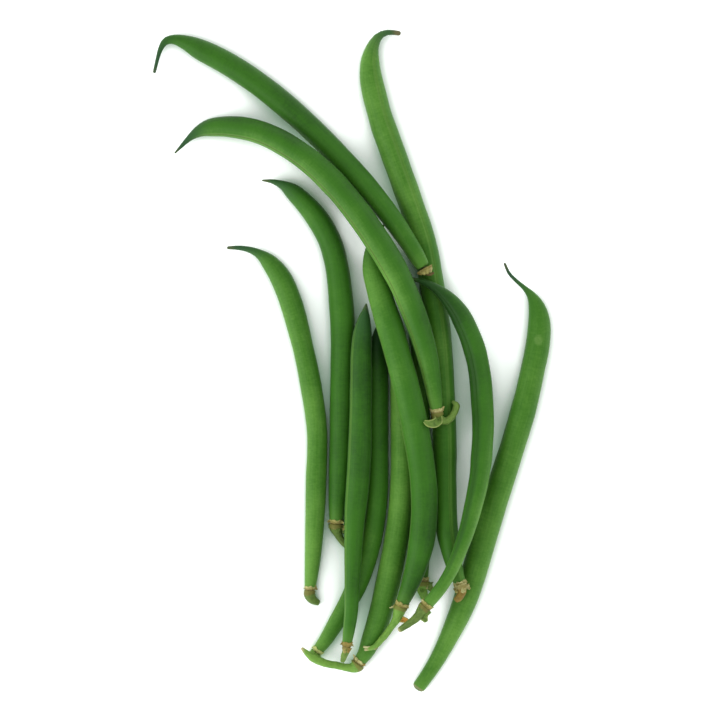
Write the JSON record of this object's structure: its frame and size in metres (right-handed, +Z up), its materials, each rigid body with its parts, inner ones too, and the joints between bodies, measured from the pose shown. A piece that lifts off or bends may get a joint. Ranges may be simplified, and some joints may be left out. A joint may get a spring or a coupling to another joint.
{
  "type": "green bean bundle",
  "caption": "Loose bundle of slender curved green bean pods lying side by side and across each other, with hooked pointed tails and short stems with dry papery caps.",
  "frame": {"origin": "Middle of the bundle's bounding box in X and Y, at the height of the table that the lowest pods lie on.", "axes": "+Z is up from the table. The hooked tails of the pods point toward +Y and their stem caps toward -Y. +X is to the right as the stem caps point at the viewer who looks down from above."},
  "size_m": [0.1276, 0.2124, 0.0176],
  "materials": {
    "pod": "Smooth waxy green skin with a soft broad sheen, darker along the seams and grey-green at the edges.",
    "cap": "Matt dry papery tan and brown cap on a short green stem."
  },
  "bodies": {
    "root": {"pod_hidden": "pod", "cap_hidden": "cap", "pod_left_outer": "pod", "cap_left_outer": "cap", "pod_left_inner": "pod", "cap_left_inner": "cap", "pod_left_crossing": "pod", "cap_left_crossing": "cap", "pod_right_outer": "pod", "pod_top_long": "pod", "cap_top_long": "cap", "pod_centre_low": "pod", "cap_centre_low": "cap", "pod_centre": "pod", "cap_centre": "cap", "pod_left_front": "pod", "cap_left_front": "cap", "pod_right_inner": "pod", "cap_right_inner": "cap", "pod_upper_left": "pod", "cap_upper_left": "cap", "pod_on_top": "pod", "cap_on_top": "cap"}
  },
  "joints": []
}
